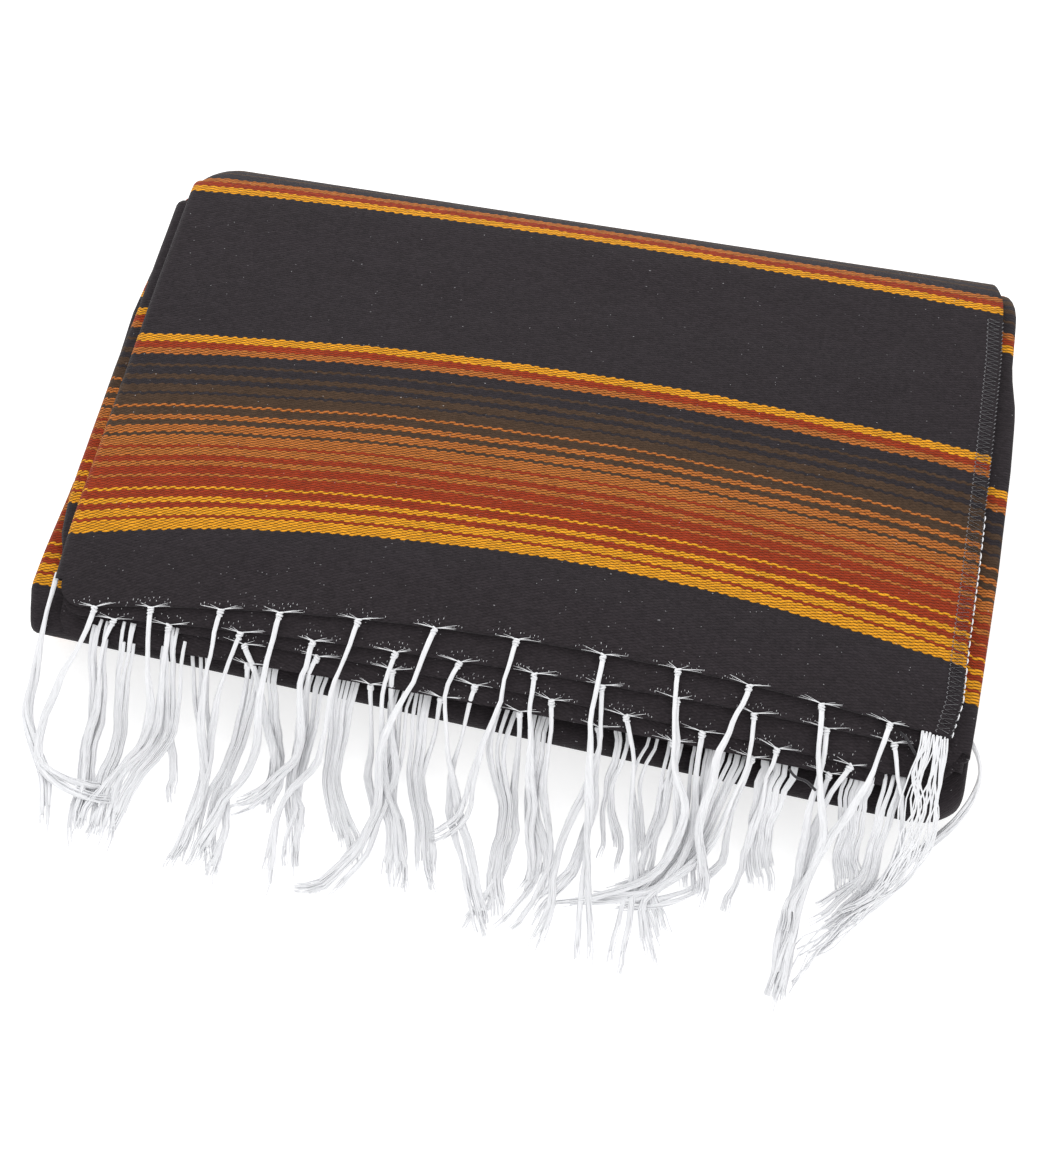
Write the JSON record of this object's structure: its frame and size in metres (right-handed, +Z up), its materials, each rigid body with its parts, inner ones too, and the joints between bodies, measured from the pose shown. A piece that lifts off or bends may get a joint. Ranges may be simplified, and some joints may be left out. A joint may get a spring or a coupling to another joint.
{
  "type": "folded serape blanket",
  "caption": "Striped woven serape blanket, folded into a flat rectangular stack with a rounded back fold and knotted fringe spread out in front.",
  "frame": {"origin": "on the floor, under the middle of the whole outline with its fringe", "axes": "+Z up, +X along the fringed edge to the right, +Y back towards the main fold"},
  "size_m": [0.4105, 0.3526, 0.0656],
  "materials": {
    "striped_cloth": "thick woven cloth, dark charcoal with gold, red, orange and brown stripes, slightly brushed",
    "inner_cloth": "the same striped cloth, seen at the folded side edges",
    "fringe_yarn": "loose white cotton yarn in knotted tassels"
  },
  "bodies": {
    "root": {"outer_ply": "striped_cloth", "second_ply": "striped_cloth", "third_ply": "striped_cloth", "fourth_ply": "striped_cloth", "second_leaf": "striped_cloth", "front_fold": "striped_cloth", "folded_core": "inner_cloth", "lower_fringe": "fringe_yarn", "upper_fringe": "fringe_yarn"}
  },
  "joints": []
}
